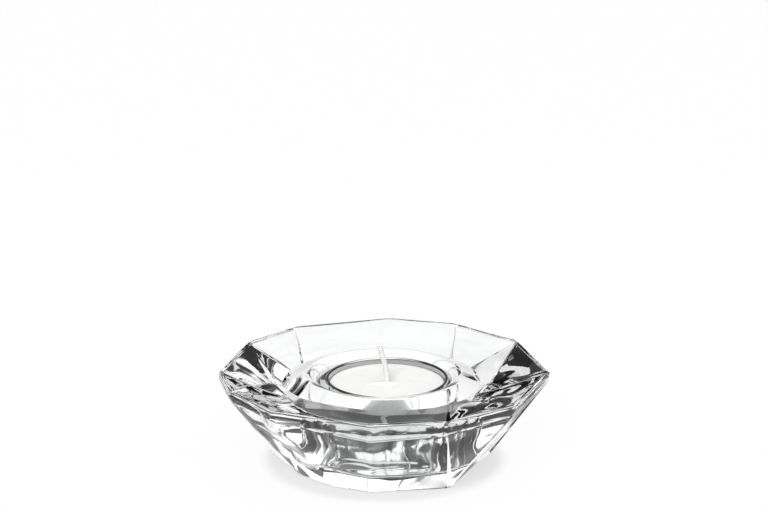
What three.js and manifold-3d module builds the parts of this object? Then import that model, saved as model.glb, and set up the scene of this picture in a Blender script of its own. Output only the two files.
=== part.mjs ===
// A faceted crystal-glass votive holder with the tealight that stands in its well.
// Millimetres, +Z up. The origin is on the axis of the well, on the face that the holder stands on.
import * as THREE from "three";
import { ConvexGeometry } from "three/addons/geometries/ConvexGeometry.js";
import { mergeVertices } from "three/addons/utils/BufferGeometryUtils.js";
import Module from "manifold-3d";

// Glass block: an irregular rim on a smaller irregular foot
const RIM_RADIUS = 51.5; // circle through the corners of the rim
const RIM_HEIGHT = 29.5; // top edge of the glass above the foot
const GIRDLE_HEIGHT = 3; // upright band under the top edge
const FOOT_RADIUS = 33; // mean distance of the foot's corners from the axis
const FOOT_BEVEL_HEIGHT = 1.6;
const FOOT_BEVEL_INSET = 1.1;

// One entry for each flat on the rim, counterclockwise: where its first corner stands on
// the rim's circle, and how steeply its face in the dish falls towards the well, in degrees.
const RIM_FLATS = [
  { corner: -2, slope: 9.4 },
  { corner: 34, slope: 7.5 },
  { corner: 63, slope: 6.8 },
  { corner: 88, slope: 7 },
  { corner: 124, slope: 10.4 },
  { corner: 147.5, slope: 12 },
  { corner: 181.7, slope: 13.5 },
  { corner: 203, slope: 10.5 },
  { corner: 229, slope: 9 },
  { corner: 265, slope: 9 },
  { corner: 291.5, slope: 10 },
  { corner: 320, slope: 10.8 },
];

// Corners of the foot: direction in degrees, and reach beyond the foot's mean radius.
const FOOT_CORNERS = [
  { corner: 5, reach: 1 },
  { corner: 47, reach: 0.5 },
  { corner: 92, reach: -0.5 },
  { corner: 138, reach: 0.5 },
  { corner: 180, reach: 1 },
  { corner: 211, reach: -1.8 },
  { corner: 240, reach: -2 },
  { corner: 262, reach: -1.2 },
  { corner: 306, reach: 1.5 },
];

// Well and lip: smooth round surfaces in the middle of the dish
const BASE_THICKNESS = 10; // glass under the well
const WELL_CLEARANCE = 1.3; // between the widest part of the cup and the well
const WELL_FILLET = 1.5; // where the well's wall meets its floor
const LIP_DEPTH = 1.4; // crest of the raised lip round the well, below the rim
const LIP_ROUNDING = 3.2; // radius of the lip's inner edge and crest
const LIP_SLOPE = 20; // degrees, outer side of the lip
const LIP_SKIRT = 14; // how far that side is drawn, down into the block
const CUTTER_MARGIN = 4; // how far the cutting shapes stand above the rim

// Tealight cup: thin drawn metal with a rolled rim and a raised floor panel
const CUP_RIM_RADIUS = 19.2;
const CUP_HEIGHT = 16.8;
const CUP_WALL = 0.35;
const CUP_BEAD = 1.2; // diameter of the rolled rim
const CUP_TAPER = 0.5; // how much narrower the wall is at its foot than at the rim
const CUP_CORNER = 1.4; // outer rounding between wall and floor
const PANEL_RADIUS = 12.5;
const PANEL_RISE = 0.6;
const PANEL_RAMP = 0.8; // width of the slope up to the panel
const CANDLE_SHIFT_SHARE = 0.7; // share of the clearance by which the tealight stands to one side

// Wax, wick and the wick's metal foot
const WAX_CLEARANCE = 0.3; // round the wax, the wick and the metal foot
const WAX_DROP = 1.8; // wax below the cup's rim
const MENISCUS_HEIGHT = 0.7; // wax drawn up round the wick
const MENISCUS_RADIUS = 3;
const WAX_EDGE = 0.5; // rounded upper edge of the wax
const WICK_DIAMETER = 1.9;
const WICK_EXPOSED = 12.4; // wick above the wax
const WICK_LEAN = 2.4; // sideways reach of its tip
const WICK_GRIP = 0.15; // between the wick and the neck that holds it
const SUSTAINER_RADIUS = 6.5;
const SUSTAINER_SHEET = 0.3;
const SUSTAINER_NECK = 3.4; // height of the neck above the disc

// Fineness of the round surfaces
const ROUND_STEPS = 64;
const SMALL_STEPS = 24;
const ARC_STEPS = 3;
const LIP_STEPS = 8;
const WICK_SIDES = 10;
const WICK_RINGS = 26;

// Sizes that follow from those
const WELL_RADIUS = CUP_RIM_RADIUS + WELL_CLEARANCE;
const LIP_CREST = RIM_HEIGHT - LIP_DEPTH;
const CUTTER_TOP = RIM_HEIGHT + CUTTER_MARGIN;
const CUP_FLOOR = CUP_WALL;
const PANEL_TOP = CUP_FLOOR + PANEL_RISE;
const CUP_INNER_RADIUS = CUP_RIM_RADIUS - CUP_BEAD;
const CUP_OUTER_RADIUS = CUP_INNER_RADIUS + CUP_WALL;
const WAX_TOP = CUP_HEIGHT - WAX_DROP;
const WICK_RADIUS = WICK_DIAMETER / 2;
const NECK_BORE = WICK_RADIUS + WICK_GRIP;
const NECK_RADIUS = NECK_BORE + SUSTAINER_SHEET;
const SUSTAINER_TOP = PANEL_TOP + SUSTAINER_SHEET;
const NECK_TOP = SUSTAINER_TOP + SUSTAINER_NECK;

const wasm = await Module();
wasm.setup();

const radians = THREE.MathUtils.degToRad;

function onCircle(radius, degrees, height) {
  const angle = radians(degrees);
  return new THREE.Vector3(radius * Math.cos(angle), radius * Math.sin(angle), height);
}

// A closed mesh as a solid that can be cut.
function solidFrom(geometry) {
  const bare = geometry.clone();
  bare.deleteAttribute("normal");
  bare.deleteAttribute("uv");
  const merged = mergeVertices(bare, 1e-4);
  const corners = merged.index.array;
  const triangles = [];
  for (let i = 0; i < corners.length; i += 3) {
    const [a, b, c] = corners.slice(i, i + 3);
    if (a !== b && b !== c && c !== a) triangles.push(a, b, c);
  }
  return new wasm.Manifold(
    new wasm.Mesh({
      numProp: 3,
      vertProperties: merged.attributes.position.array,
      triVerts: new Uint32Array(triangles),
    }),
  );
}

function geometryFrom(solid) {
  const mesh = solid.getMesh();
  const geometry = new THREE.BufferGeometry();
  geometry.setAttribute("position", new THREE.BufferAttribute(mesh.vertProperties, 3));
  geometry.setIndex(new THREE.BufferAttribute(mesh.triVerts, 1));
  geometry.computeVertexNormals();
  return geometry;
}

// A profile of (radius, height) points turned about the vertical axis.
function turned(points, steps) {
  return new THREE.LatheGeometry(points, steps).rotateX(Math.PI / 2);
}

// A rounding between two straight runs of a profile that would meet at `corner`.
function rounded(before, corner, after, size) {
  const start = corner.clone().add(before.clone().sub(corner).setLength(size));
  const end = corner.clone().add(after.clone().sub(corner).setLength(size));
  return new THREE.QuadraticBezierCurve(start, corner, end).getPoints(ARC_STEPS);
}

const point = (radius, height) => new THREE.Vector2(radius, height);

// The block before the dish is cut: flat facets between the rim's and the foot's corners.
function glassBlock() {
  const girdleBottom = RIM_HEIGHT - GIRDLE_HEIGHT;
  const corners = [];
  for (const { corner } of RIM_FLATS) {
    corners.push(onCircle(RIM_RADIUS, corner, RIM_HEIGHT));
    corners.push(onCircle(RIM_RADIUS, corner, girdleBottom));
  }
  for (const { corner, reach } of FOOT_CORNERS) {
    const radius = FOOT_RADIUS + reach;
    corners.push(onCircle(radius, corner, FOOT_BEVEL_HEIGHT));
    corners.push(onCircle(radius - FOOT_BEVEL_INSET, corner, 0));
  }
  return solidFrom(new ConvexGeometry(corners));
}

// The plane of each dish facet holds one edge of the rim and falls towards the axis.
function dishPlanes() {
  return RIM_FLATS.map(({ corner, slope }, i) => {
    const next = RIM_FLATS[(i + 1) % RIM_FLATS.length].corner + (i + 1 < RIM_FLATS.length ? 0 : 360);
    const normal = onCircle(-Math.sin(radians(slope)), (corner + next) / 2, Math.cos(radians(slope)));
    const edgePoint = onCircle(RIM_RADIUS, corner, RIM_HEIGHT);
    return new THREE.Plane().setFromNormalAndCoplanarPoint(normal, edgePoint);
  });
}

// The point that three planes share, or null where they have none.
function commonPoint(a, b, c) {
  const across = new THREE.Vector3().crossVectors(b.normal, c.normal);
  const scale = a.normal.dot(across);
  if (Math.abs(scale) < 1e-9) return null;
  return new THREE.Vector3()
    .addScaledVector(across, -a.constant)
    .addScaledVector(new THREE.Vector3().crossVectors(c.normal, a.normal), -b.constant)
    .addScaledVector(new THREE.Vector3().crossVectors(a.normal, b.normal), -c.constant)
    .divideScalar(scale);
}

// The hollow that the dish facets enclose: everything above all of their planes.
function dishHollow() {
  const lid = new THREE.Plane(new THREE.Vector3(0, 0, -1), CUTTER_TOP);
  const planes = [...dishPlanes(), lid];
  const corners = [];
  for (let i = 0; i < planes.length; i++) {
    for (let j = i + 1; j < planes.length; j++) {
      for (let k = j + 1; k < planes.length; k++) {
        const corner = commonPoint(planes[i], planes[j], planes[k]);
        if (!corner) continue;
        if (planes.every((plane) => plane.distanceToPoint(corner) > -1e-6)) corners.push(corner);
      }
    }
  }
  return solidFrom(new ConvexGeometry(corners));
}

// Room in the block for the turned glass that lines the well.
function wellRoom() {
  const radius = WELL_RADIUS + WELL_FILLET;
  const floor = 0.75 * BASE_THICKNESS;
  const profile = [point(0, floor), point(radius, floor), point(radius, CUTTER_TOP), point(0, CUTTER_TOP)];
  return solidFrom(turned(profile, ROUND_STEPS));
}

// The turned glass in the middle: the well's floor and wall, and the rounded lip above the dish.
function wellLiner() {
  const slope = radians(LIP_SLOPE);
  const lipMiddle = point(WELL_RADIUS + LIP_ROUNDING, LIP_CREST - LIP_ROUNDING);
  const rounding = new THREE.EllipseCurve(
    lipMiddle.x, lipMiddle.y, LIP_ROUNDING, LIP_ROUNDING, Math.PI / 2 - slope, Math.PI,
  );
  const lip = rounding.getPoints(LIP_STEPS).map(({ x, y }) => point(x, y));
  const skirt = point(lip[0].x + LIP_SKIRT, lip[0].y - LIP_SKIRT * Math.tan(slope));
  const underside = BASE_THICKNESS / 2;
  const axisFloor = point(0, BASE_THICKNESS);
  const floorCorner = point(WELL_RADIUS, BASE_THICKNESS);
  const profile = [
    point(0, underside),
    point(WELL_RADIUS, underside),
    skirt,
    ...lip,
    ...rounded(lip.at(-1), floorCorner, axisFloor, WELL_FILLET),
    axisFloor,
  ];
  return solidFrom(turned(profile, ROUND_STEPS));
}

function glassHolder() {
  const dish = glassBlock().subtract(dishHollow()).subtract(wellRoom());
  return geometryFrom(dish.add(wellLiner()));
}

// The cup's wall leans in towards its foot: the radius of a face at a height.
function wallRadius(radiusAtRim, height) {
  return radiusAtRim - CUP_TAPER * (1 - height / CUP_HEIGHT);
}

function candleCup() {
  const beadRadius = CUP_BEAD / 2;
  const beadHeight = CUP_HEIGHT - beadRadius;
  const beadCentre = point(CUP_INNER_RADIUS + beadRadius, beadHeight);
  const wallTop = CUP_HEIGHT - CUP_BEAD;
  const outerFoot = point(wallRadius(CUP_OUTER_RADIUS, 0), 0);
  const innerFoot = point(wallRadius(CUP_INNER_RADIUS, CUP_FLOOR), CUP_FLOOR);
  const outerTop = point(wallRadius(CUP_OUTER_RADIUS, wallTop), wallTop);
  const innerTop = point(CUP_INNER_RADIUS, beadHeight);
  const rampFoot = point(PANEL_RADIUS + PANEL_RAMP, 0);
  const innerRampFoot = point(PANEL_RADIUS + PANEL_RAMP, CUP_FLOOR);
  const beadStart = -Math.PI / 2;
  const beadEnd = Math.PI;
  const bead = new THREE.EllipseCurve(
    beadCentre.x, beadCentre.y, beadRadius, beadRadius, beadStart, beadEnd,
  );
  const profile = [
    point(0, PANEL_RISE),
    point(PANEL_RADIUS, PANEL_RISE),
    rampFoot,
    ...rounded(rampFoot, outerFoot, outerTop, CUP_CORNER),
    outerTop,
    ...bead.getPoints(3 * ARC_STEPS).map(({ x, y }) => point(x, y)),
    ...rounded(innerTop, innerFoot, innerRampFoot, CUP_CORNER - CUP_WALL),
    innerRampFoot,
    point(PANEL_RADIUS, PANEL_TOP),
    point(0, PANEL_TOP),
  ];
  return geometryFrom(solidFrom(turned(profile, ROUND_STEPS)));
}

// The wax fills the cup, with room underneath for the wick's metal foot and its neck.
function candleWax() {
  const gap = WAX_CLEARANCE;
  const sideRadius = (height) => wallRadius(CUP_INNER_RADIUS, height) - gap;
  const foot = point(sideRadius(CUP_FLOOR), CUP_FLOOR);
  const rampFoot = point(PANEL_RADIUS + PANEL_RAMP + gap, CUP_FLOOR);
  const rimCorner = point(sideRadius(WAX_TOP), WAX_TOP);
  const meniscusFoot = point(MENISCUS_RADIUS, WAX_TOP);
  const holeRadius = WICK_RADIUS + gap;
  const holeTop = point(holeRadius, WAX_TOP + MENISCUS_HEIGHT);
  const meniscus = new THREE.QuadraticBezierCurve(
    meniscusFoot, point((MENISCUS_RADIUS + holeRadius) / 2, WAX_TOP), holeTop,
  );
  const panel = PANEL_TOP + gap;
  const profile = [
    rampFoot,
    ...rounded(rampFoot, foot, rimCorner, CUP_CORNER),
    ...rounded(foot, rimCorner, meniscusFoot, WAX_EDGE),
    ...meniscus.getPoints(ARC_STEPS),
    point(holeRadius, NECK_TOP + gap),
    point(NECK_RADIUS + gap, NECK_TOP + gap),
    point(NECK_RADIUS + gap, SUSTAINER_TOP + gap),
    point(SUSTAINER_RADIUS + gap, SUSTAINER_TOP + gap),
    point(SUSTAINER_RADIUS + gap, panel),
    point(PANEL_RADIUS + gap, panel),
    rampFoot,
  ];
  return geometryFrom(solidFrom(turned(profile, ROUND_STEPS)));
}

// A stamped disc on the cup's floor, drawn up into a neck that grips the wick.
function wickSustainer() {
  const neckFoot = point(NECK_RADIUS, SUSTAINER_TOP);
  const discEdge = point(SUSTAINER_RADIUS, SUSTAINER_TOP);
  const neckTop = point(NECK_RADIUS, NECK_TOP);
  const underside = point(NECK_BORE, PANEL_TOP);
  const profile = [
    underside,
    point(SUSTAINER_RADIUS, PANEL_TOP),
    discEdge,
    ...rounded(discEdge, neckFoot, neckTop, SUSTAINER_SHEET),
    neckTop,
    point(NECK_BORE, NECK_TOP),
    underside,
  ];
  return geometryFrom(solidFrom(turned(profile, SMALL_STEPS)));
}

// The wick stands upright through the wax, then leans over.
function wickStrand() {
  const start = SUSTAINER_TOP;
  const bend = WAX_TOP + MENISCUS_HEIGHT;
  const tip = WAX_TOP + WICK_EXPOSED;
  const path = new THREE.CurvePath();
  path.add(new THREE.LineCurve3(new THREE.Vector3(0, 0, start), new THREE.Vector3(0, 0, bend)));
  path.add(
    new THREE.QuadraticBezierCurve3(
      new THREE.Vector3(0, 0, bend),
      new THREE.Vector3(0, 0, bend + (tip - bend) / 3),
      new THREE.Vector3(-WICK_LEAN, 0, tip),
    ),
  );
  const section = new THREE.Shape();
  for (let i = 0; i < WICK_SIDES; i++) {
    const angle = (2 * Math.PI * i) / WICK_SIDES;
    const x = WICK_RADIUS * Math.cos(angle);
    const y = WICK_RADIUS * Math.sin(angle);
    if (i === 0) section.moveTo(x, y);
    else section.lineTo(x, y);
  }
  section.closePath();
  const strand = new THREE.ExtrudeGeometry(section, { steps: WICK_RINGS, extrudePath: path });
  return geometryFrom(solidFrom(strand));
}

function piece(name, geometry, finish) {
  const mesh = new THREE.Mesh(geometry, new THREE.MeshStandardMaterial(finish));
  mesh.name = name;
  return mesh;
}

const clearGlass = {
  color: 0xe9eeee, roughness: 0.03, metalness: 0, transparent: true, opacity: 0.45,
};
const drawnAluminium = { color: 0xd4d6d8, roughness: 0.28, metalness: 1 };
const whiteWax = { color: 0xf3f2ee, roughness: 0.45, metalness: 0 };
const cottonWick = { color: 0xe4e1d8, roughness: 0.95, metalness: 0 };
const tinnedSteel = { color: 0xb9bbbd, roughness: 0.35, metalness: 1 };

const holder = new THREE.Group();
holder.add(piece("glass_holder", glassHolder(), clearGlass));

// The tealight stands on the floor of the well, a little to one side.
const tealight = new THREE.Group();
tealight.position.set(WELL_CLEARANCE * CANDLE_SHIFT_SHARE, 0, BASE_THICKNESS);
tealight.add(piece("candle_cup", candleCup(), drawnAluminium));
tealight.add(piece("candle_wax", candleWax(), whiteWax));
tealight.add(piece("wick", wickStrand(), cottonWick));
tealight.add(piece("wick_sustainer", wickSustainer(), tinnedSteel));
holder.add(tealight);

export default holder;
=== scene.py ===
import math

import bmesh
import bpy
from bpy.props import FloatProperty, FloatVectorProperty, IntProperty, PointerProperty
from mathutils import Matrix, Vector, noise


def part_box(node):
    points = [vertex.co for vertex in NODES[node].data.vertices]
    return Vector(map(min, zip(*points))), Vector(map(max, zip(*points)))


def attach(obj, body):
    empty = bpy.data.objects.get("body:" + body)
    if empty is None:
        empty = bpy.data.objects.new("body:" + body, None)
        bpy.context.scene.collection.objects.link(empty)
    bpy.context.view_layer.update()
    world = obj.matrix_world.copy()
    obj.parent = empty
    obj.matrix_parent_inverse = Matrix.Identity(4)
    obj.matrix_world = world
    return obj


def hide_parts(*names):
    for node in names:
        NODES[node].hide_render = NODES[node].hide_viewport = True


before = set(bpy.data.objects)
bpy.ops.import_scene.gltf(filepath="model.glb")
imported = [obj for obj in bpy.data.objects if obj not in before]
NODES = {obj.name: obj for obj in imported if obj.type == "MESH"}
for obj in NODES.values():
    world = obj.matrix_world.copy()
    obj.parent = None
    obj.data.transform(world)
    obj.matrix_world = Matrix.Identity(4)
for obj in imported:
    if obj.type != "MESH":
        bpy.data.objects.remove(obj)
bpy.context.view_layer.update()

bl_info = {
    "name": "Faceted votive holder",
    "version": (1, 0, 0),
    "blender": (4, 5, 0),
    "location": "3D View > Sidebar > Votive",
    "description": "Builds a faceted glass votive holder with its tealight, and a white studio round it",
    "category": "Object",
}

MM = 0.001
CUP_LOW, CUP_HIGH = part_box("candle_cup")
CUP_AXIS = (CUP_LOW.x + CUP_HIGH.x) / 2
GLASS_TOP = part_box("glass_holder")[1].z
RIM_LEVEL = GLASS_TOP - 0.01 * MM
FOOT_HEIGHT = 2.2 * MM

# Where the waves on the body's front fade in and out, in height and from front to back
WAVES_RISE = (6 * MM, 12 * MM)
WAVES_FALL = (16 * MM, 24 * MM)
WAVES_BACK = (-36 * MM, -22 * MM)

# The raised panel in the cup's floor, which the wax is cast round
PANEL_RADIUS = 12.5 * MM
PANEL_RISE = 0.6 * MM
PANEL_RAMP = 0.8 * MM

# Limits of the direction cosines that each light of the studio fills
SOFTBOX = {"across": (-1, 0.37), "along": (-1, -0.14)}
LEFT_STRIP = {"across": (-1, -0.45), "along": (-0.6, 0.0), "up": (0.66, 1)}
RIGHT_STRIP = {"across": (0.2, 1), "along": (-0.9, 0.2), "up": (0.5, 1), "soft": 0.03}
OVERHEAD_STRIP = {"across": (-0.14, 0.32), "along": (-0.3, 0.75), "up": (0.62, 1)}
TABLE = {"along": (-1, -0.3)}
BACKDROP = {"across": (-0.22, 0.25), "along": (0.5, 1), "soft": 0.08}
BACKDROP_MIRRORED = 0.25
FILL_PLACE = (-0.4, -1.8, 1.3)
FILL_SIZE = 1.2

# The floor: its gap under the foot, what the camera sees round it and what the glass shows
FLOOR_GAP = 0.15 * MM
SHADOW_EDGE = (1 * MM, 7 * MM)
SHADOW_WHITE = (0.7, 0.97)
UNDER_EDGE = (-5 * MM, -2 * MM)
UNDER_WHITE = 0.12
UNDER_MIDDLE = (0, -5 * MM, 0)
WHITE_STRIP = {"across": (-45 * MM, 45 * MM), "soft": 3 * MM}
WHITE_FRONT = {"along": (-1, -35 * MM), "soft": 3 * MM}


# Sizes and colours that a user would change

class VotiveGlassSettings(bpy.types.PropertyGroup):
    """The glass block, its cut facets and its well."""

    rim_rounding: FloatProperty(
        name="Rim rounding", description="How far the polish eats into the top edge",
        default=1.3 * MM, unit="LENGTH")
    edge_rounding: FloatProperty(
        name="Edge rounding", description="How far the polish eats into the edges between facets",
        default=1.2 * MM, unit="LENGTH")
    foot_rounding: FloatProperty(
        name="Foot rounding", description="How far the polish eats into the edges round the foot",
        default=1.0 * MM, unit="LENGTH")
    well_radius: FloatProperty(
        name="Well radius", description="Radius of the round well",
        default=20.5 * MM, unit="LENGTH")
    well_floor: FloatProperty(
        name="Well floor", description="Height of the well's floor",
        default=CUP_LOW.z, unit="LENGTH")
    lip_depth: FloatProperty(
        name="Lip depth", description="How far the crest of the well's lip lies below the rim",
        default=1.4 * MM, unit="LENGTH")
    lip_rounding: FloatProperty(
        name="Lip rounding", description="Radius of the lip's inner edge and crest",
        default=3.2 * MM, unit="LENGTH")
    lip_slope: FloatProperty(
        name="Lip slope", description="Slope of the lip's outer side",
        default=math.radians(20), subtype="ANGLE")
    ior: FloatProperty(
        name="Refraction", description="Index of refraction of the crystal glass", default=1.5)
    tint: FloatVectorProperty(
        name="Tint", description="Colour of the glass", subtype="COLOR", size=3,
        default=(0.985, 0.99, 0.99))
    ripple: FloatProperty(
        name="Ripple", description="Height of the faint waves that pressing leaves in the surface",
        default=2.8 * MM, unit="LENGTH")
    wave_pattern: FloatProperty(
        name="Wave pattern", description="Picks one pattern of waves out of many", default=12.4)
    front_waves: FloatProperty(
        name="Front waves", description="How many times deeper the waves are on the body's front",
        default=2.6)


class VotiveCupSettings(bpy.types.PropertyGroup):
    """The tealight's drawn metal cup."""

    wall: FloatProperty(
        name="Wall", description="Thickness of the sheet", default=0.35 * MM, unit="LENGTH")
    bead: FloatProperty(
        name="Bead", description="Diameter of the rolled rim", default=1.2 * MM, unit="LENGTH")
    taper: FloatProperty(
        name="Taper", description="How much narrower the wall is at its foot",
        default=0.5 * MM, unit="LENGTH")
    pleats: IntProperty(
        name="Pleats", description="Draw marks round the wall", default=84)
    pleat_depth: FloatProperty(
        name="Pleat depth", description="Height of a draw mark", default=0.006 * MM, unit="LENGTH")
    colour: FloatVectorProperty(
        name="Colour", description="Colour of the metal", subtype="COLOR", size=3,
        default=(0.78, 0.785, 0.79))
    # Painted shade: darker colour for the band of inner wall just below the rim, standing in for the
    # dark room it reflects
    painted_shade_colour: FloatVectorProperty(
        name="Painted shade colour", description="Colour of the painted shade on the inner wall above the wax",
        subtype="COLOR", size=3, default=(0.5, 0.5, 0.5))


class VotiveCandleSettings(bpy.types.PropertyGroup):
    """The wax, the wick and the wick's metal foot."""

    wax_drop: FloatProperty(
        name="Wax drop", description="How far the wax lies below the cup's rim",
        default=1.8 * MM, unit="LENGTH")
    wax_gap: FloatProperty(
        name="Wax gap", description="Room between the wax and the cup",
        default=0.12 * MM, unit="LENGTH")
    wax_colour: FloatVectorProperty(
        name="Wax colour", description="Colour of the wax", subtype="COLOR", size=3,
        default=(0.95, 0.945, 0.93))
    wick_colour: FloatVectorProperty(
        name="Wick colour", description="Colour of the waxed cotton", subtype="COLOR", size=3,
        default=(0.9, 0.895, 0.88))
    strands: IntProperty(
        name="Strands", description="Strands in the wick's braid", default=8)


class VotiveStageSettings(bpy.types.PropertyGroup):
    """The floor, the light and the camera."""

    elevation: FloatProperty(
        name="Elevation", description="Camera height above the horizon",
        default=math.radians(20), subtype="ANGLE")
    distance: FloatProperty(
        name="Distance", description="Camera distance from the holder",
        default=1.0, unit="LENGTH")
    drop: FloatProperty(
        name="Drop", description="How far the holder sits below the middle of the frame",
        default=math.radians(2.837), subtype="ANGLE")
    lens: FloatProperty(
        name="Lens", description="Focal length in millimetres", default=150)
    softbox: FloatProperty(
        name="Softbox", description="Strength of the light overhead", default=1.6)
    softbox_edge: FloatProperty(
        name="Softbox edge", description="Elevation at which the light overhead begins",
        default=math.radians(48), subtype="ANGLE")
    strip: FloatProperty(
        name="Strip", description="Strength of the strips of light at both sides and overhead",
        default=1.4)
    table_edge: FloatProperty(
        name="Table edge", description="Elevation up to which the pale table shows in front",
        default=math.radians(8), subtype="ANGLE")
    room: FloatProperty(
        name="Room", description="Strength of the darker room between horizon and softbox",
        default=0.03)
    backdrop: FloatProperty(
        name="Backdrop", description="Strength of the pale table and of the backdrop behind the holder",
        default=1.04)
    backdrop_edge: FloatProperty(
        name="Backdrop edge", description="Elevation at which the backdrop begins",
        default=math.radians(20), subtype="ANGLE")
    fill: FloatProperty(
        name="Fill", description="Power of the lamp in front that only lights matt surfaces",
        default=38, unit="POWER")
    floor_glow: FloatProperty(
        name="Floor glow", description="Strength of the white floor that shows through the glass",
        default=1.1)
    foot_radius: FloatProperty(
        name="Foot radius", description="Radius round which the floor keeps the holder's shadow",
        default=33 * MM, unit="LENGTH")


# Mesh helpers

def link(name, data):
    """A new object at the origin that holds this mesh, curve, lamp or camera."""
    made = bpy.data.objects.new(name, data)
    bpy.context.scene.collection.objects.link(made)
    return made


def mesh_of(bm, name):
    mesh = bpy.data.meshes.new(name)
    bm.to_mesh(mesh)
    bm.free()
    return mesh


def applied(made):
    """Replaces the object's mesh by what its modifiers make of it, and removes them."""
    graph = bpy.context.evaluated_depsgraph_get()
    mesh = bpy.data.meshes.new_from_object(made.evaluated_get(graph), depsgraph=graph)
    old = made.data
    made.modifiers.clear()
    made.data = mesh
    mesh.name = made.name
    bpy.data.meshes.remove(old)
    return made


def combined(body, other, operation):
    """Cuts the other solid out of the body or fuses it on, and removes the other."""
    join = body.modifiers.new("join", "BOOLEAN")
    join.operation = operation
    join.solver = "EXACT"
    join.material_mode = "TRANSFER"
    join.object = other
    applied(body)
    bpy.data.objects.remove(other)


def rounded(before, corner, after, size, steps=6):
    """Points of a rounding where two straight runs of a profile meet at a corner."""
    before, corner, after = Vector(before), Vector(corner), Vector(after)
    start = corner + (before - corner).normalized() * size
    end = corner + (after - corner).normalized() * size
    points = []
    for i in range(steps + 1):
        t = i / steps
        points.append(start * (1 - t) ** 2 + corner * 2 * t * (1 - t) + end * t ** 2)
    return points


def turned(name, profile, steps, axis_x=0.0):
    """A profile of (radius, height) points turned about an upright axis, as a closed mesh.
    A profile that doesn't start and end on the axis is taken as a closed ring."""
    bm = bmesh.new()
    rings = []
    for radius, height in profile:
        if radius < 1e-9:
            rings.append([bm.verts.new((axis_x, 0, height))])
            continue
        ring = []
        for i in range(steps):
            angle = 2 * math.pi * i / steps
            ring.append(bm.verts.new(
                (axis_x + radius * math.cos(angle), radius * math.sin(angle), height)))
        rings.append(ring)
    pairs = list(zip(rings, rings[1:]))
    if len(rings[0]) > 1:
        pairs.append((rings[-1], rings[0]))
    for low, high in pairs:
        for i in range(steps):
            j = (i + 1) % steps
            if len(low) == 1:
                corners = (low[0], high[j], high[i])
            elif len(high) == 1:
                corners = (low[i], low[j], high[0])
            else:
                corners = (low[i], low[j], high[j], high[i])
            bm.faces.new(corners)
    bmesh.ops.recalc_face_normals(bm, faces=bm.faces)
    for face in bm.faces:
        face.smooth = True
    return link(name, mesh_of(bm, name))


# Node helpers

def maths(tree, operation, first, second=None):
    """The result of one sum on two sockets or numbers."""
    node = tree.nodes.new("ShaderNodeMath")
    node.operation = operation
    for socket, value in zip(node.inputs, (first, second)):
        if isinstance(value, (int, float)):
            socket.default_value = value
        elif value is not None:
            tree.links.new(value, socket)
    return node.outputs["Value"]


def eased(tree, value, limits, levels):
    """A value that eases from one level to another between two limits of its input."""
    node = tree.nodes.new("ShaderNodeMapRange")
    node.interpolation_type = "SMOOTHSTEP"
    node.inputs["From Min"].default_value, node.inputs["From Max"].default_value = limits
    node.inputs["To Min"].default_value, node.inputs["To Max"].default_value = levels
    tree.links.new(value, node.inputs["Value"])
    return node.outputs["Result"]


def panel(tree, sight, level, across=(-1, 1), along=(-1, 1), up=(-1, 1), soft=0.05):
    """A level that fills a window of directions or places, given as the limits of their three
    coordinates, with soft edges."""
    shine = maths(tree, "MULTIPLY", level, 1.0)
    for coordinate, (low, high) in zip(sight, (across, along, up)):
        if low > -1:
            edge = eased(tree, coordinate, (low - soft, low + soft), (0.0, 1.0))
            shine = maths(tree, "MULTIPLY", shine, edge)
        if high < 1:
            edge = eased(tree, coordinate, (high - soft, high + soft), (1.0, 0.0))
            shine = maths(tree, "MULTIPLY", shine, edge)
    return shine


def coordinates(tree, vector):
    """The three coordinates of a vector."""
    parts = tree.nodes.new("ShaderNodeSeparateXYZ")
    tree.links.new(vector, parts.inputs["Vector"])
    return list(parts.outputs)


def on_vectors(tree, operation, first, second):
    """The result of one sum on two vectors, or on a vector and a factor."""
    node = tree.nodes.new("ShaderNodeVectorMath")
    node.operation = operation
    tree.links.new(first, node.inputs[0])
    tree.links.new(second, node.inputs["Scale" if operation == "SCALE" else 1])
    return node.outputs[0]


def piece_place(tree):
    """The place on the piece itself, which a pose doesn't change."""
    return tree.nodes.new("ShaderNodeTexCoord").outputs["Object"]


def new_material(name):
    """A new material with its node tree and its shader."""
    made = bpy.data.materials.new(name)
    made.use_nodes = True
    return made, made.node_tree, made.node_tree.nodes["Principled BSDF"]


def grain(tree, scale, detail, squeeze=(1, 1, 1)):
    """Noise that is fixed to the piece and may be drawn out along an axis."""
    stretch = tree.nodes.new("ShaderNodeMapping")
    stretch.inputs["Scale"].default_value = squeeze
    tree.links.new(piece_place(tree), stretch.inputs["Vector"])
    texture = tree.nodes.new("ShaderNodeTexNoise")
    texture.inputs["Scale"].default_value = scale
    texture.inputs["Detail"].default_value = detail
    tree.links.new(stretch.outputs["Vector"], texture.inputs["Vector"])
    return texture.outputs["Fac"]


def two_tones(tree, value, dark, light, low=0.0, high=1.0):
    """A colour that goes from dark to light between two limits of a value."""
    tone = tree.nodes.new("ShaderNodeValToRGB")
    for element, position, colour in zip(tone.color_ramp.elements, (low, high), (dark, light)):
        element.position = position
        element.color = (*colour, 1)
    tree.links.new(value, tone.inputs["Fac"])
    return tone.outputs["Color"]


def dimmed(colour, share):
    return [share * part for part in colour]


def roughened(tree, shader, value, smooth, rough):
    """Varies the roughness between two limits."""
    spread = tree.nodes.new("ShaderNodeMapRange")
    spread.inputs["To Min"].default_value = smooth
    spread.inputs["To Max"].default_value = rough
    tree.links.new(value, spread.inputs["Value"])
    tree.links.new(spread.outputs["Result"], shader.inputs["Roughness"])


def bumped(tree, shader, height, strength, distance):
    """Gives the surface a fine relief."""
    relief = tree.nodes.new("ShaderNodeBump")
    relief.inputs["Strength"].default_value = strength
    relief.inputs["Distance"].default_value = distance
    tree.links.new(height, relief.inputs["Height"])
    tree.links.new(relief.outputs["Normal"], shader.inputs["Normal"])


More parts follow.
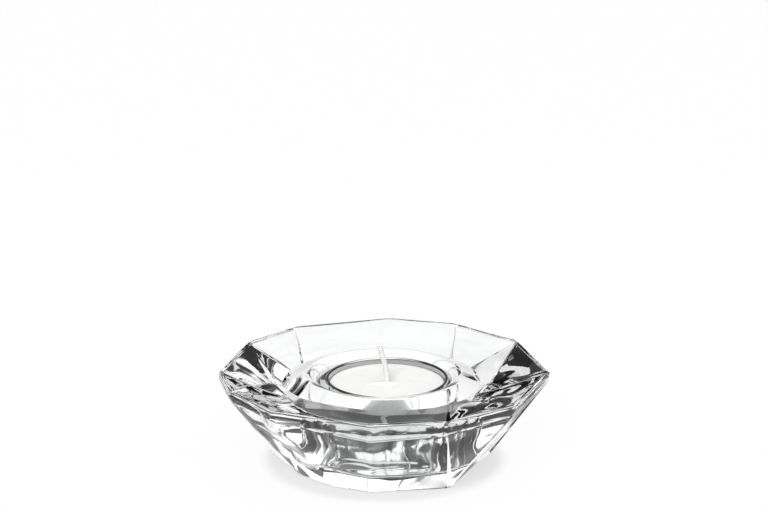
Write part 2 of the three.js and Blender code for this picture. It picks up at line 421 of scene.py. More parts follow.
def geometry_tree(name, inputs):
    """A new tree that takes geometry and these further inputs, and gives geometry."""
    tree = bpy.data.node_groups.new(name, "GeometryNodeTree")
    face = tree.interface
    face.new_socket("Geometry", in_out="INPUT", socket_type="NodeSocketGeometry")
    for label, kind in inputs.items():
        face.new_socket(label, in_out="INPUT", socket_type="NodeSocket" + kind)
    face.new_socket("Geometry", in_out="OUTPUT", socket_type="NodeSocketGeometry")
    return tree, tree.nodes.new("NodeGroupInput")


def finish_tree(tree, given, geometry):
    """Ends a tree in real geometry with its material."""
    nodes, links = tree.nodes, tree.links
    real = nodes.new("GeometryNodeRealizeInstances")
    coat = nodes.new("GeometryNodeSetMaterial")
    out = nodes.new("NodeGroupOutput")
    links.new(geometry, real.inputs[0])
    links.new(real.outputs[0], coat.inputs["Geometry"])
    links.new(given.outputs["Material"], coat.inputs["Material"])
    links.new(coat.outputs[0], out.inputs[0])


def run_tree(made, tree, values):
    """Puts a node tree on an object, with these values for its inputs."""
    grow = made.modifiers.new(tree.name, "NODES")
    grow.node_group = tree
    for socket in tree.interface.items_tree:
        if socket.in_out == "INPUT" and socket.name in values:
            grow[socket.identifier] = values[socket.name]


# The glass holder

def merged_glass():
    """The CAD block as joined faces."""
    bm = bmesh.new()
    bm.from_mesh(NODES["glass_holder"].data)
    bmesh.ops.remove_doubles(bm, verts=bm.verts, dist=0.002 * MM)
    return bm


def raised_block(extra):
    """The block before its dish is cut, with its girdle drawn up past the rim."""
    source = merged_glass()
    bm = bmesh.new()
    for vert in source.verts:
        bm.verts.new(vert.co)
    source.free()
    hull = bmesh.ops.convex_hull(bm, input=bm.verts)
    inner = hull["geom_interior"] + hull["geom_unused"]
    spare = {v for v in inner if isinstance(v, bmesh.types.BMVert)}
    bmesh.ops.delete(bm, geom=list(spare), context="VERTS")
    bmesh.ops.dissolve_limit(
        bm, angle_limit=math.radians(0.6), use_dissolve_boundaries=False,
        verts=bm.verts, edges=bm.edges)
    for vert in bm.verts:
        if vert.co.z > RIM_LEVEL:
            vert.co.z += extra
    bmesh.ops.recalc_face_normals(bm, faces=bm.faces)
    return link("glass_holder_cut", mesh_of(bm, "glass_holder_cut"))


def dish_cutter(reach, height):
    """The hollow above all the dish facets, whose planes each hold one edge of the rim."""
    source = merged_glass()
    planes = []
    for face in source.faces:
        on_rim = [v for v in face.verts if v.co.z > RIM_LEVEL]
        if len(on_rim) >= 2 and face.normal.z > 0.5:
            planes.append((on_rim[0].co.copy(), face.normal.copy()))
    source.free()
    bm = bmesh.new()
    bmesh.ops.create_cube(bm, size=2 * reach)
    for vert in bm.verts:
        vert.co.z = height if vert.co.z > 0 else -reach
    for co, normal in planes:
        cut = bmesh.ops.bisect_plane(
            bm, geom=bm.verts[:] + bm.edges[:] + bm.faces[:], dist=1e-9,
            plane_co=co, plane_no=normal, clear_inner=True)
        edges = [e for e in cut["geom_cut"] if isinstance(e, bmesh.types.BMEdge)]
        bmesh.ops.edgeloop_fill(bm, edges=edges)
    bmesh.ops.recalc_face_normals(bm, faces=bm.faces)
    return link("dish_cutter", mesh_of(bm, "dish_cutter"))


def polish_edges(glass, settings):
    """Polished roundings on every edge between two cut facets, largest on the rim, and a crisp
    line where the turned lip meets the facets."""
    bm = bmesh.new()
    bm.from_mesh(glass.data)
    bmesh.ops.remove_doubles(bm, verts=bm.verts, dist=0.005 * MM)
    bmesh.ops.dissolve_limit(
        bm, angle_limit=math.radians(0.3), use_dissolve_boundaries=False, delimit={"MATERIAL"},
        verts=bm.verts, edges=bm.edges)
    turned_slot = glass.data.materials.find("turned")
    weight = bm.edges.layers.float.new("bevel_weight_edge")
    largest = max(settings.rim_rounding, settings.edge_rounding)
    for edge in bm.edges:
        turned_sides = [face.material_index == turned_slot for face in edge.link_faces]
        if any(turned_sides):
            edge.smooth = all(turned_sides)
        elif all(v.co.z > GLASS_TOP - 0.05 * MM for v in edge.verts):
            edge[weight] = settings.rim_rounding / largest
        elif all(v.co.z < FOOT_HEIGHT for v in edge.verts):
            edge[weight] = settings.foot_rounding / largest
        else:
            edge[weight] = settings.edge_rounding / largest
    bm.to_mesh(glass.data)
    bm.free()
    bevel = glass.modifiers.new("rounding", "BEVEL")
    bevel.limit_method = "WEIGHT"
    bevel.offset_type = "OFFSET"
    bevel.width = largest
    bevel.segments = 5
    bevel.use_clamp_overlap = False
    applied(glass)
    low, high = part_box("glass_holder")
    bm = bmesh.new()
    bm.from_mesh(glass.data)
    bmesh.ops.remove_doubles(bm, verts=bm.verts, dist=0.001 * MM)
    for vert in bm.verts:
        vert.co.x = min(max(vert.co.x, low.x), high.x)
        vert.co.y = min(max(vert.co.y, low.y), high.y)
    bm.to_mesh(glass.data)
    bm.free()


def well_liner(settings, steps):
    """The glass round the well as one turned solid, with the rounded lip that stands above the
    dish."""
    skirt_reach = 14 * MM
    corner_rounding = 1.5 * MM
    arc_steps = 20
    crest = GLASS_TOP - settings.lip_depth
    lip = settings.lip_rounding
    radius = settings.well_radius
    slope = settings.lip_slope
    middle = Vector((radius + lip, crest - lip))
    rounding = []
    for i in range(arc_steps + 1):
        angle = math.pi / 2 - slope + (math.pi / 2 + slope) * i / arc_steps
        rounding.append(middle + lip * Vector((math.cos(angle), math.sin(angle))))
    skirt = rounding[0] + skirt_reach * Vector((1, -math.tan(slope)))
    floor = (radius, settings.well_floor)
    profile = [(0, settings.well_floor / 2), (radius, settings.well_floor / 2), skirt]
    profile += rounding
    profile += rounded(rounding[-1], floor, (0, settings.well_floor), corner_rounding)
    profile.append((0, settings.well_floor))
    liner = turned("well_liner", profile, steps)
    liner.data.materials.append(bpy.data.materials.new("turned"))
    return liner


def glass_material(settings):
    """Clear crystal with the faint waves of pressed and polished glass."""
    made, tree, shader = new_material("clear crystal glass")
    shader.inputs["Base Color"].default_value = (*settings.tint, 1)
    shader.inputs["Roughness"].default_value = 0.0
    shader.inputs["IOR"].default_value = settings.ior
    shader.inputs["Transmission Weight"].default_value = 1.0
    place = piece_place(tree)
    waves = tree.nodes.new("ShaderNodeTexNoise")
    waves.noise_dimensions = "4D"
    waves.inputs["W"].default_value = settings.wave_pattern
    waves.inputs["Scale"].default_value = 36
    waves.inputs["Distortion"].default_value = 0.4
    waves.inputs["Detail"].default_value = 0.5
    tree.links.new(place, waves.inputs["Vector"])
    along, up = coordinates(tree, place)[1:]
    region = maths(tree, "MULTIPLY", eased(tree, up, WAVES_FALL, (1.0, 0.0)),
                   eased(tree, up, WAVES_RISE, (0.0, 1.0)))
    region = maths(tree, "MULTIPLY", region, eased(tree, along, WAVES_BACK, (1.0, 0.0)))
    deeper = eased(tree, region, (0.0, 1.0), (1.0, settings.front_waves))
    height = maths(tree, "MULTIPLY", maths(tree, "SUBTRACT", waves.outputs["Fac"], 0.5), deeper)
    bumped(tree, shader, height, strength=1.0, distance=settings.ripple)
    return made


class VOTIVE_OT_cut_glass(bpy.types.Operator):
    """Cuts the glass block, its dish, lip and well, and polishes the edges"""

    bl_idname = "votive.cut_glass"
    bl_label = "Cut the glass holder"

    def execute(self, context):
        settings = context.scene.votive_glass
        spare_height = 2 * MM
        liner_wall = 1.5 * MM
        cutter_reach = 0.2
        glass = raised_block(spare_height)
        glass.data.materials.append(bpy.data.materials.new("cut"))
        combined(glass, dish_cutter(cutter_reach, GLASS_TOP + 3 * spare_height), "DIFFERENCE")
        room = settings.well_radius + liner_wall
        low, high = 0.75 * settings.well_floor, GLASS_TOP + 2 * spare_height
        room_profile = [(0, low), (room, low), (room, high), (0, high)]
        combined(glass, turned("well_room", room_profile, steps=48), "DIFFERENCE")
        combined(glass, well_liner(settings, steps=160), "UNION")
        polish_edges(glass, settings)
        for polygon in glass.data.polygons:
            polygon.use_smooth = True
        normals = glass.modifiers.new("facet normals", "WEIGHTED_NORMAL")
        normals.keep_sharp = True
        applied(glass)
        glass.data.materials.clear()
        glass.data.materials.append(glass_material(settings))
        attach(glass, "holder")
        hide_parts("glass_holder")
        return {"FINISHED"}


# The tealight's cup

def wall_radius(radius_at_rim, height, settings):
    """Radius of the tapered wall at a height above the cup's foot."""
    tall = CUP_HIGH.z - CUP_LOW.z
    return radius_at_rim - settings.taper * (1 - height / tall)


def bead_arc(centre, radius, start, end, steps):
    """Points round a rolled bead, with angles in degrees."""
    points = []
    for i in range(steps + 1):
        angle = math.radians(start + (end - start) * i / steps)
        points.append((centre[0] + radius * math.cos(angle), centre[1] + radius * math.sin(angle)))
    return points


def cup_profile(settings):
    """Section of the drawn cup from the middle of its underside, over the rolled rim, to the
    middle of its floor."""
    step, step_height = 0.09 * MM, 3.2 * MM
    groove_depth = 0.15 * MM
    ramp_corner, foot_corner, inner_corner = 0.4 * MM, 1.4 * MM, 1.05 * MM
    outer_rows, inner_rows = 8, 10
    tall = CUP_HIGH.z - CUP_LOW.z
    rim = (CUP_HIGH.x - CUP_LOW.x) / 2
    bead = settings.bead / 2
    inner = rim - settings.bead
    outer = inner + settings.wall
    bead_middle = (inner + bead, tall - bead)
    foot = (wall_radius(outer, 0, settings), 0)
    inner_foot = (wall_radius(inner, settings.wall, settings), settings.wall)
    wall_top = (wall_radius(outer, tall - settings.bead, settings), tall - 1.35 * settings.bead)
    ring, rise = PANEL_RADIUS, PANEL_RISE
    ramp_foot = (ring + PANEL_RAMP, 0)
    groove = rise - groove_depth
    under = [(0, rise), (5 * MM, rise), (5.4 * MM, groove), (8.6 * MM, groove), (9 * MM, rise),
             (ring, rise)]
    profile = list(under)
    profile += rounded((ring, rise), ramp_foot, foot, ramp_corner, steps=3)
    profile += rounded(ramp_foot, foot, wall_top, foot_corner)
    for height in (0.82, 0.95, 1.05, 1.18):
        level = step_height * height
        radius = wall_radius(outer, level, settings)
        profile.append((radius + (step if height > 1 else 0), level))
    step_end = step_height * 1.3
    for part in range(1, outer_rows + 1):
        level = step_end + (wall_top[1] - step_end) * part / outer_rows
        fade = 1 - part / outer_rows
        profile.append((wall_radius(outer, level, settings) + step * fade, level))
    profile += bead_arc(bead_middle, bead, start=-115, end=180, steps=14)
    inner_end = inner_foot[1] + 1.2 * MM
    for part in range(1, inner_rows):
        level = bead_middle[1] + (inner_end - bead_middle[1]) * part / inner_rows
        profile.append((wall_radius(inner, level, settings), level))
    inner_ramp_foot = (ring + PANEL_RAMP, settings.wall)
    inner_side = (wall_radius(inner, 2 * MM, settings), 2 * MM)
    profile += rounded(inner_side, inner_foot, inner_ramp_foot, inner_corner)
    profile += [inner_ramp_foot]
    profile += [(radius, height + settings.wall) for radius, height in reversed(under)]
    return [(radius, height + CUP_LOW.z) for radius, height in profile]


def draw_mark_tree():
    """A node tree that presses upright draw marks into a cup's wall."""
    tree, given = geometry_tree(
        "draw marks", {"Marks": "Int", "Depth": "Float", "Axis": "Float", "Material": "Material"})
    nodes, links = tree.nodes, tree.links
    x, y = coordinates(tree, nodes.new("GeometryNodeInputPosition").outputs[0])[:2]
    angle = maths(tree, "ARCTAN2", y, maths(tree, "SUBTRACT", x, given.outputs["Axis"]))
    fine = maths(tree, "SINE", maths(tree, "MULTIPLY", angle, given.outputs["Marks"]))
    slow_marks, slow_share = 7, 0.4
    slow = maths(tree, "SINE", maths(tree, "MULTIPLY", angle, slow_marks))
    wave = maths(tree, "ADD", maths(tree, "MULTIPLY", fine, 1 - slow_share),
                 maths(tree, "MULTIPLY", slow, slow_share))
    mask = nodes.new("GeometryNodeInputNamedAttribute")
    mask.data_type = "FLOAT"
    mask.inputs["Name"].default_value = "draw_mark"
    depth = maths(tree, "MULTIPLY", wave, given.outputs["Depth"])
    depth = maths(tree, "MULTIPLY", depth, mask.outputs["Attribute"])
    outward = nodes.new("ShaderNodeCombineXYZ")
    links.new(maths(tree, "COSINE", angle), outward.inputs["X"])
    links.new(maths(tree, "SINE", angle), outward.inputs["Y"])
    shift = on_vectors(tree, "SCALE", outward.outputs[0], depth)
    moved = nodes.new("GeometryNodeSetPosition")
    links.new(given.outputs["Geometry"], moved.inputs["Geometry"])
    links.new(shift, moved.inputs["Offset"])
    finish_tree(tree, given, moved.outputs["Geometry"])
    return tree


def cup_material(settings):
    """Bright drawn sheet with fine upright streaks, faint handling marks and a band of painted shade
    inside the cup below the rim, above the wax, standing in for the dark room that the wall reflects."""
    made, tree, shader = new_material("drawn aluminium")
    shader.inputs["Metallic"].default_value = 1.0
    streaks = grain(tree, scale=1400, detail=3, squeeze=(1, 1, 0.06))
    marks = grain(tree, scale=160, detail=4)
    dark = dimmed(settings.colour, share=0.9)
    tone = two_tones(tree, marks, dark, settings.colour, low=0.35, high=0.65)
    # Painted shade: the marked band of inner wall is mixed towards the darker painted shade colour
    shade_band = tree.nodes.new("ShaderNodeAttribute")
    shade_band.attribute_name = "painted_shade_band"
    shaded_tone = tree.nodes.new("ShaderNodeMix")
    shaded_tone.data_type = "RGBA"
    shaded_tone.inputs["B"].default_value = (*settings.painted_shade_colour, 1)
    tree.links.new(shade_band.outputs["Fac"], shaded_tone.inputs["Factor"])
    tree.links.new(tone, shaded_tone.inputs["A"])
    tree.links.new(shaded_tone.outputs["Result"], shader.inputs["Base Color"])
    roughened(tree, shader, streaks, smooth=0.05, rough=0.15)
    bumped(tree, shader, streaks, strength=0.25, distance=0.03 * MM)
    return made


class VOTIVE_OT_draw_cup(bpy.types.Operator):
    """Turns the tealight's cup with its rolled rim and presses draw marks into the wall"""

    bl_idname = "votive.draw_cup"
    bl_label = "Draw the cup"

    def execute(self, context):
        settings = context.scene.votive_cup
        cup = turned("candle_cup_drawn", cup_profile(settings), steps=4 * settings.pleats,
                     axis_x=CUP_AXIS)
        marks_low = CUP_LOW.z + 2.2 * MM
        marks_high = CUP_HIGH.z - 2.0 * MM
        marks_fade = 1.5 * MM
        marks_inner = 16 * MM
        # The band of inner wall from just below the rim down towards the wax, which the material darkens
        # as painted shade
        shade_top, shade_foot = 0.4 * MM, 2.4 * MM
        shade_outer = (CUP_HIGH.x - CUP_LOW.x) / 2 - settings.bead + 0.02 * MM
        marks, shade_band = [], []
        for vert in cup.data.vertices:
            reach = math.hypot(vert.co.x - CUP_AXIS, vert.co.y)
            drop = CUP_HIGH.z - vert.co.z
            into = min(vert.co.z - marks_low, marks_high - vert.co.z) / marks_fade
            marks.append(max(0, min(1, into)) if reach > marks_inner else 0)
            shade_band.append(1 if reach < shade_outer and shade_top < drop < shade_foot else 0)
        for name, values in (("draw_mark", marks), ("painted_shade_band", shade_band)):
            cup.data.attributes.new(name, "FLOAT", "POINT").data.foreach_set("value", values)
        run_tree(cup, draw_mark_tree(), {
            "Marks": settings.pleats, "Depth": settings.pleat_depth, "Axis": CUP_AXIS,
            "Material": cup_material(settings)})
        applied(cup)
        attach(cup, "tealight_cup")
        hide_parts("candle_cup")
        return {"FINISHED"}


# The wax, the wick and the wick's foot

def wax_profile(settings, cup):
    """Section of the wax from the wick's hole round its underside to the ring at the wick."""
    tall = CUP_HIGH.z - CUP_LOW.z
    inner = (CUP_HIGH.x - CUP_LOW.x) / 2 - cup.bead
    top = tall - settings.wax_drop
    gap = settings.wax_gap
    hole = 0.9 * MM
    neck_radius, neck_top = 1.5 * MM, 4.75 * MM
    disc_radius, disc_top = 6.6 * MM, 1.4 * MM
    sag, sag_reach = 0.14 * MM, 2.5 * MM
    rise_radius, wick_rise = 3.0 * MM, 0.75 * MM
    side_rows, top_rows, rise_rows = 5, 24, 10
    side = wall_radius(inner, top, cup) - gap
    foot = (wall_radius(inner, cup.wall, cup) - gap, cup.wall + gap)
    ramp_foot = (PANEL_RADIUS + PANEL_RAMP + gap, cup.wall + gap)
    floor = PANEL_RISE + cup.wall + gap
    profile = [(hole, neck_top), (neck_radius, neck_top), (neck_radius, disc_top),
               (disc_radius, disc_top), (disc_radius, floor), (PANEL_RADIUS + gap, floor)]
    profile += rounded((PANEL_RADIUS, floor), ramp_foot, foot, size=0.3 * MM, steps=3)
    profile += rounded(ramp_foot, foot, (side, top), size=1.4 * MM)
    for part in range(1, side_rows + 1):
        level = foot[1] + 1.5 * MM + (top - foot[1] - 2 * MM) * part / side_rows
        profile.append((wall_radius(inner, level, cup) - gap, level))
    profile += [(side, top - 0.1 * MM), (side - 0.05 * MM, top), (side - 0.25 * MM, top - 0.02 * MM)]
    for part in range(1, top_rows + 1):
        radius = (side - 0.3 * MM) + (rise_radius - side + 0.3 * MM) * part / top_rows
        profile.append((radius, top - sag * min(1, (side - radius) / sag_reach)))
    for part in range(1, rise_rows + 1):
        radius = rise_radius + (hole - rise_radius) * part / rise_rows
        profile.append((radius, top - sag + (part / rise_rows) ** 2 * wick_rise))
    return [(radius, height + CUP_LOW.z) for radius, height in profile]


def wax_material(settings):
    """Cast wax: soft light inside it, faint mottling and a slightly waxy gloss."""
    made, tree, shader = new_material("cast wax")
    shader.inputs["Subsurface Weight"].default_value = 0.35
    shader.inputs["Subsurface Radius"].default_value = (1.0, 0.9, 0.8)
    shader.inputs["Subsurface Scale"].default_value = 2.5 * MM
    shader.inputs["IOR"].default_value = 1.44
    mottle = grain(tree, scale=260, detail=5)
    colour = settings.wax_colour
    tone = two_tones(tree, mottle, dimmed(colour, share=0.955), colour, low=0.3, high=0.6)
    tree.links.new(tone, shader.inputs["Base Color"])
    roughened(tree, shader, mottle, smooth=0.38, rough=0.55)
    bumped(tree, shader, mottle, strength=0.3, distance=0.05 * MM)
    return made


def cast_wax(settings, cup):
    """The wax, its top in slow swells, with a small drip beside the wick."""
    wax = turned("candle_wax_cast", wax_profile(settings, cup), steps=160, axis_x=CUP_AXIS)
    skin = CUP_HIGH.z - settings.wax_drop - 0.3 * MM
    slow_scale, slow_swell = 140, 0.05
    quick_scale, quick_swell = 420, 0.015
    drip_x, drip_y, drip_squeeze = -3.1 * MM, -0.2 * MM, 2.2
    drip_width, drip_height = 1.9 * MM, 0.3 * MM
    for vert in wax.data.vertices:
        if vert.co.z > skin:
            place = vert.co - Vector((CUP_AXIS, 0, 0))
            swell = noise.noise(place * slow_scale) * slow_swell * MM
            swell += noise.noise(place * quick_scale) * quick_swell * MM
            from_drip = Vector((place.x - drip_x, (place.y - drip_y) * drip_squeeze, 0))
            drip = from_drip.length / drip_width
            vert.co.z += swell + drip_height * math.exp(-drip * drip)
    wax.data.materials.append(wax_material(settings))
    return wax


def wick_path():
    """Centre line of the wick: straight through the wax, then leaning over."""
    axis = Vector((CUP_AXIS, 0, CUP_LOW.z))
    low, straight, rows = 1.3, 14.4, 12
    points = [axis + Vector((0, 0, (low + straight * i / rows) * MM)) for i in range(rows)]
    start, pull, tip = Vector((0, 0, 15.7)), Vector((0, 0, 19.6)), Vector((-2.4, 0, 27.3))
    for i in range(rows + 1):
        t = i / rows
        points.append(axis + MM * (start * (1 - t) ** 2 + pull * 2 * t * (1 - t) + tip * t ** 2))
    return points


def braid_tree():
    """A node tree that winds strands of yarn in both directions round a path."""
    tree, given = geometry_tree(
        "braid", {"Strands": "Int", "Turns": "Float", "Braid Radius": "Float",
                  "Strand Radius": "Float", "Material": "Material"})
    nodes, links = tree.nodes, tree.links
    path = nodes.new("GeometryNodeResampleCurve")
    path.inputs["Count"].default_value = 150
    links.new(given.outputs["Geometry"], path.inputs["Curve"])
    strands = nodes.new("GeometryNodeDuplicateElements")
    strands.domain = "SPLINE"
    links.new(path.outputs[0], strands.inputs["Geometry"])
    links.new(given.outputs["Strands"], strands.inputs["Amount"])
    number = strands.outputs["Duplicate Index"]
    along = nodes.new("GeometryNodeSplineParameter").outputs["Factor"]
    odd = maths(tree, "MODULO", number, 2)
    hand = maths(tree, "SUBTRACT", maths(tree, "MULTIPLY", odd, 2), 1)
    turn = maths(tree, "MULTIPLY", along, given.outputs["Turns"])
    turn = maths(tree, "MULTIPLY", turn, hand)
    share = maths(tree, "DIVIDE", number, given.outputs["Strands"])
    angle = maths(tree, "MULTIPLY", maths(tree, "ADD", turn, share), 2 * math.pi)
    weave = maths(tree, "SINE", maths(tree, "MULTIPLY", angle, 2))
    weave = maths(tree, "MULTIPLY", weave, hand)
    weave_lift = 0.16
    lift = maths(tree, "ADD", maths(tree, "MULTIPLY", weave, weave_lift), 1)
    radius = maths(tree, "MULTIPLY", given.outputs["Braid Radius"], lift)
    normal = nodes.new("GeometryNodeInputNormal").outputs[0]
    tangent = nodes.new("GeometryNodeInputTangent").outputs[0]
    side = on_vectors(tree, "CROSS_PRODUCT", tangent, normal)
    forward = maths(tree, "MULTIPLY", radius, maths(tree, "COSINE", angle))
    sideways = maths(tree, "MULTIPLY", radius, maths(tree, "SINE", angle))
    offset = on_vectors(tree, "ADD", on_vectors(tree, "SCALE", normal, forward),
                        on_vectors(tree, "SCALE", side, sideways))
    laid = nodes.new("GeometryNodeSetPosition")
    links.new(strands.outputs["Geometry"], laid.inputs["Geometry"])
    links.new(offset, laid.inputs["Offset"])
    both = nodes.new("GeometryNodeJoinGeometry")
    for curve, size, sides in ((laid, "Strand Radius", 7), (path, "Braid Radius", 12)):
        section = nodes.new("GeometryNodeCurvePrimitiveCircle")
        section.inputs["Resolution"].default_value = sides
        links.new(given.outputs[size], section.inputs["Radius"])
        tube = nodes.new("GeometryNodeCurveToMesh")
        tube.inputs["Fill Caps"].default_value = True
        links.new(curve.outputs[0], tube.inputs["Curve"])
        links.new(section.outputs["Curve"], tube.inputs["Profile Curve"])
        links.new(tube.outputs[0], both.inputs[0])
    smooth = nodes.new("GeometryNodeSetShadeSmooth")
    links.new(both.outputs[0], smooth.inputs["Geometry"])
    finish_tree(tree, given, smooth.outputs["Geometry"])
    return tree


def wick_material(settings):
    """Waxed cotton yarn: pale, fibrous and matt."""
    made, tree, shader = new_material("waxed cotton")
    shader.inputs["Roughness"].default_value = 0.75
    shader.inputs["Sheen Weight"].default_value = 0.25
    fibres = grain(tree, scale=3500, detail=3)
    colour = settings.wick_colour
    tone = two_tones(tree, fibres, dimmed(colour, share=0.86), colour, low=0.3, high=0.65)
    tree.links.new(tone, shader.inputs["Base Color"])
    bumped(tree, shader, fibres, strength=0.5, distance=0.05 * MM)
    return made


def braided_wick(settings):
    """The wick, braided along its centre line."""
    line = bpy.data.curves.new("wick_path", "CURVE")
    line.dimensions = "3D"
    spline = line.splines.new("POLY")
    points = wick_path()
    spline.points.add(len(points) - 1)
    for point, place in zip(spline.points, points):
        point.co = (*place, 1)
    path = link("wick_path", line)
    run_tree(path, braid_tree(), {
        "Strands": settings.strands, "Turns": 9.0, "Braid Radius": 0.6 * MM,
        "Strand Radius": 0.24 * MM, "Material": wick_material(settings)})
    graph = bpy.context.evaluated_depsgraph_get()
    mesh = bpy.data.meshes.new_from_object(path.evaluated_get(graph), depsgraph=graph)
    bpy.data.objects.remove(path)
    mesh.name = "wick_braid"
    return link("wick_braid", mesh)


def sustainer_profile():
    """Section of the stamped disc with its stepped ring and the neck that grips the wick."""
    upper = [(6.42, 1.1), (6.3, 1.25), (5.2, 1.25), (4.9, 1.17), (4.2, 1.17), (3.9, 1.25), (2.2, 1.25)]
    neck = [(1.75, 1.32), (1.5, 1.5), (1.4, 1.9), (1.4, 4.35), (1.36, 4.6), (1.25, 4.65), (1.13, 4.6)]
    bore = [(1.1, 4.35), (1.1, 1.6), (1.2, 1.2), (1.5, 1.0), (2.0, 0.95)]
    lower = [(3.8, 0.95), (4.3, 1.0), (4.8, 1.0), (5.3, 0.95), (6.35, 0.95), (6.5, 0.98)]
    points = upper + neck + bore + lower
    return [(radius * MM, height * MM + CUP_LOW.z) for radius, height in points]


def tinplate_material():
    """Stamped tinplate with a fine brushed grain."""
    made, tree, shader = new_material("stamped tinplate")
    shader.inputs["Metallic"].default_value = 1.0
    brushed = grain(tree, scale=3000, detail=3, squeeze=(1, 0.05, 1))
    tone = two_tones(tree, brushed, dark=(0.6, 0.61, 0.62), light=(0.72, 0.73, 0.74))
    tree.links.new(tone, shader.inputs["Base Color"])
    roughened(tree, shader, brushed, smooth=0.25, rough=0.45)
    bumped(tree, shader, brushed, strength=0.3, distance=0.02 * MM)
    return made


def stamped_foot():
    """The wick's metal foot, its neck pinched on four sides and its disc ribbed."""
    foot = turned("wick_sustainer_stamped", sustainer_profile(), steps=96, axis_x=CUP_AXIS)
    neck_foot = 1.8 * MM
    pinches, pinch_depth = 4, 0.1 * MM
    ribs, rib_height, rib_inner, rib_outer = 6, 0.04 * MM, 2.2 * MM, 4.6 * MM
    for vert in foot.data.vertices:
        x, y = vert.co.x - CUP_AXIS, vert.co.y
        angle = math.atan2(y, x)
        height = vert.co.z - CUP_LOW.z
        if height > neck_foot:
            pinch = pinch_depth * (0.5 + 0.5 * math.cos(pinches * angle))
            pinch *= min(1, (height - neck_foot) / MM)
            vert.co.x -= pinch * math.cos(angle)
            vert.co.y -= pinch * math.sin(angle)
        elif rib_inner < math.hypot(x, y) < rib_outer:
            vert.co.z += rib_height * math.cos(ribs * angle)
    foot.data.materials.append(tinplate_material())
    return foot


class VOTIVE_OT_pour_candle(bpy.types.Operator):
    """Pours the wax, braids the wick through it and stamps the wick's metal foot"""

    bl_idname = "votive.pour_candle"
    bl_label = "Pour the candle"

    def execute(self, context):
        settings = context.scene.votive_candle
        wax = cast_wax(settings, context.scene.votive_cup)
        wick = braided_wick(settings)
        foot = stamped_foot()
        for piece, node, slot in ((wax, "candle_wax", "white_wax"), (wick, "wick", "wick_cotton"),
                                  (foot, "wick_sustainer", "tinned_steel")):
            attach(piece, "candle")
            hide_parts(node)
        return {"FINISHED"}


# The stage

def studio_world(settings):
    """White to the camera, and for the glass a dark room with a softbox above the front, strips at
    both sides and overhead, a pale table low in front and a pale backdrop behind."""
    world = bpy.data.worlds.new("studio")
    world.use_nodes = True
    tree = world.node_tree
    tree.nodes.clear()
    seen = tree.nodes.new("ShaderNodeLightPath").outputs
    sight = coordinates(tree, tree.nodes.new("ShaderNodeTexCoord").outputs["Generated"])
    from_softbox = (math.sin(settings.softbox_edge), 1)
    up_to_table = (-1, math.sin(settings.table_edge))
    from_backdrop = (math.sin(settings.backdrop_edge), 1)
    backdrop = panel(tree, sight, settings.backdrop, up=from_backdrop, **BACKDROP)
    only_glossy = maths(tree, "SUBTRACT", seen["Is Glossy Ray"], seen["Is Transmission Ray"])
    mirrored = eased(tree, only_glossy, (0.0, 1.0), (1.0, BACKDROP_MIRRORED))
    lights = (
        panel(tree, sight, settings.softbox, up=from_softbox, **SOFTBOX),
        panel(tree, sight, settings.strip, **LEFT_STRIP),
        panel(tree, sight, settings.strip, **RIGHT_STRIP),
        panel(tree, sight, settings.strip, **OVERHEAD_STRIP),
        panel(tree, sight, settings.backdrop, up=up_to_table, **TABLE),
        maths(tree, "MULTIPLY", backdrop, mirrored),
        panel(tree, sight, settings.room),
    )
    level = seen["Is Camera Ray"]
    for light in lights:
        level = maths(tree, "MAXIMUM", level, light)
    studio = tree.nodes.new("ShaderNodeBackground")
    studio.inputs["Color"].default_value = (1, 1, 1, 1)
    out = tree.nodes.new("ShaderNodeOutputWorld")
    tree.links.new(level, studio.inputs["Strength"])
    tree.links.new(studio.outputs["Background"], out.inputs["Surface"])
    bpy.context.scene.world = world
    bpy.context.scene.cycles.caustics_refractive = False


def matte_fill(settings):
    """A broad lamp from the front that lights the wax, the wick and the floor, and that polished
    glass and metal don't mirror."""
    lamp = bpy.data.lights.new("front fill", "AREA")
    lamp.shape = "DISK"
    lamp.size = FILL_SIZE
    lamp.energy = settings.fill
    fill = link("front fill", lamp)
    fill.location = FILL_PLACE
    fill.rotation_euler = (-Vector(fill.location)).to_track_quat("-Z", "Y").to_euler()
    fill.visible_glossy = False
    fill.visible_transmission = False


def floor_material(settings):
    """Pale matt floor that shows as white round the object, with its shadow left under it. Through
    the glass it is white in a strip behind and in front, and dark under the foot."""
    made, tree, shader = new_material("pale floor")
    shader.inputs["Base Color"].default_value = (0.9, 0.9, 0.9, 1)
    shader.inputs["Roughness"].default_value = 0.6
    seen = tree.nodes.new("ShaderNodeLightPath").outputs
    place = piece_place(tree)

    def reach(middle):
        node = tree.nodes.new("ShaderNodeVectorMath")
        node.operation = "DISTANCE"
        node.inputs[1].default_value = middle
        tree.links.new(place, node.inputs[0])
        return node.outputs["Value"]

    def round_foot(limits):
        return [settings.foot_radius + limit for limit in limits]

    around = eased(tree, reach((0, 0, 0)), round_foot(SHADOW_EDGE), SHADOW_WHITE)
    share = maths(tree, "MULTIPLY", around, seen["Is Camera Ray"])
    beside = eased(tree, reach(UNDER_MIDDLE), round_foot(UNDER_EDGE), (UNDER_WHITE, 1.0))
    spot = coordinates(tree, place)
    strip = panel(tree, spot, 1.0, **WHITE_STRIP)
    front = panel(tree, spot, 1.0, **WHITE_FRONT)
    beside = maths(tree, "MULTIPLY", beside, maths(tree, "MAXIMUM", strip, front))
    for ray in ("Is Glossy Ray", "Is Transmission Ray"):
        share = maths(tree, "MAXIMUM", share, maths(tree, "MULTIPLY", beside, seen[ray]))
    white = tree.nodes.new("ShaderNodeEmission")
    glow = eased(tree, seen["Is Camera Ray"], (0.0, 1.0), (settings.floor_glow, 1.0))
    tree.links.new(glow, white.inputs["Strength"])
    mix = tree.nodes.new("ShaderNodeMixShader")
    tree.links.new(share, mix.inputs["Fac"])
    tree.links.new(shader.outputs["BSDF"], mix.inputs[1])
    tree.links.new(white.outputs["Emission"], mix.inputs[2])
    tree.links.new(mix.outputs["Shader"], tree.nodes["Material Output"].inputs["Surface"])
    return made


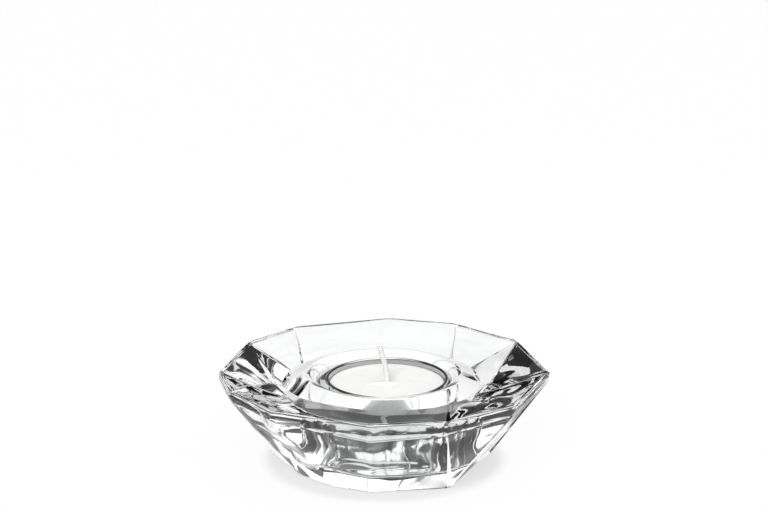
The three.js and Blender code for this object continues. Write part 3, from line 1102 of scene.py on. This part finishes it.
class VOTIVE_OT_set_stage(bpy.types.Operator):
    """Lays the floor, sets the light and aims the camera"""

    bl_idname = "votive.set_stage"
    bl_label = "Set the stage"

    def execute(self, context):
        settings = context.scene.votive_stage
        bm = bmesh.new()
        bmesh.ops.create_grid(bm, x_segments=1, y_segments=1, size=3)
        floor = link("floor", mesh_of(bm, "floor"))
        floor.location.z = -FLOOR_GAP
        floor.data.materials.append(floor_material(settings))
        studio_world(settings)
        matte_fill(settings)
        camera = link("camera", bpy.data.cameras.new("camera"))
        camera.data.lens = settings.lens
        target = Vector((0, 0, 15 * MM))
        back = Vector((0, -math.cos(settings.elevation), math.sin(settings.elevation)))
        camera.location = target + back * settings.distance
        camera.rotation_euler = (math.pi / 2 - settings.elevation + settings.drop, 0, 0)
        context.scene.camera = camera
        context.scene.view_settings.view_transform = "Standard"
        return {"FINISHED"}


class VOTIVE_PT_sidebar(bpy.types.Panel):
    """Lists the steps that build the holder"""

    bl_label = "Faceted votive holder"
    bl_space_type = "VIEW_3D"
    bl_region_type = "UI"
    bl_category = "Votive"

    def draw(self, context):
        for operator in OPERATORS:
            self.layout.operator(operator.bl_idname)


SETTINGS = {
    "votive_glass": VotiveGlassSettings,
    "votive_cup": VotiveCupSettings,
    "votive_candle": VotiveCandleSettings,
    "votive_stage": VotiveStageSettings,
}
OPERATORS = (VOTIVE_OT_set_stage, VOTIVE_OT_cut_glass, VOTIVE_OT_draw_cup,
             VOTIVE_OT_pour_candle)


def register():
    for name, group in SETTINGS.items():
        bpy.utils.register_class(group)
        setattr(bpy.types.Scene, name, PointerProperty(type=group))
    for operator in OPERATORS:
        bpy.utils.register_class(operator)
    bpy.utils.register_class(VOTIVE_PT_sidebar)


def unregister():
    bpy.utils.unregister_class(VOTIVE_PT_sidebar)
    for operator in reversed(OPERATORS):
        bpy.utils.unregister_class(operator)
    for name, group in SETTINGS.items():
        delattr(bpy.types.Scene, name)
        bpy.utils.unregister_class(group)


def main():
    register()
    bpy.ops.votive.set_stage()
    bpy.ops.votive.cut_glass()
    bpy.ops.votive.draw_cup()
    bpy.ops.votive.pour_candle()


if __name__ == "__main__":
    main()
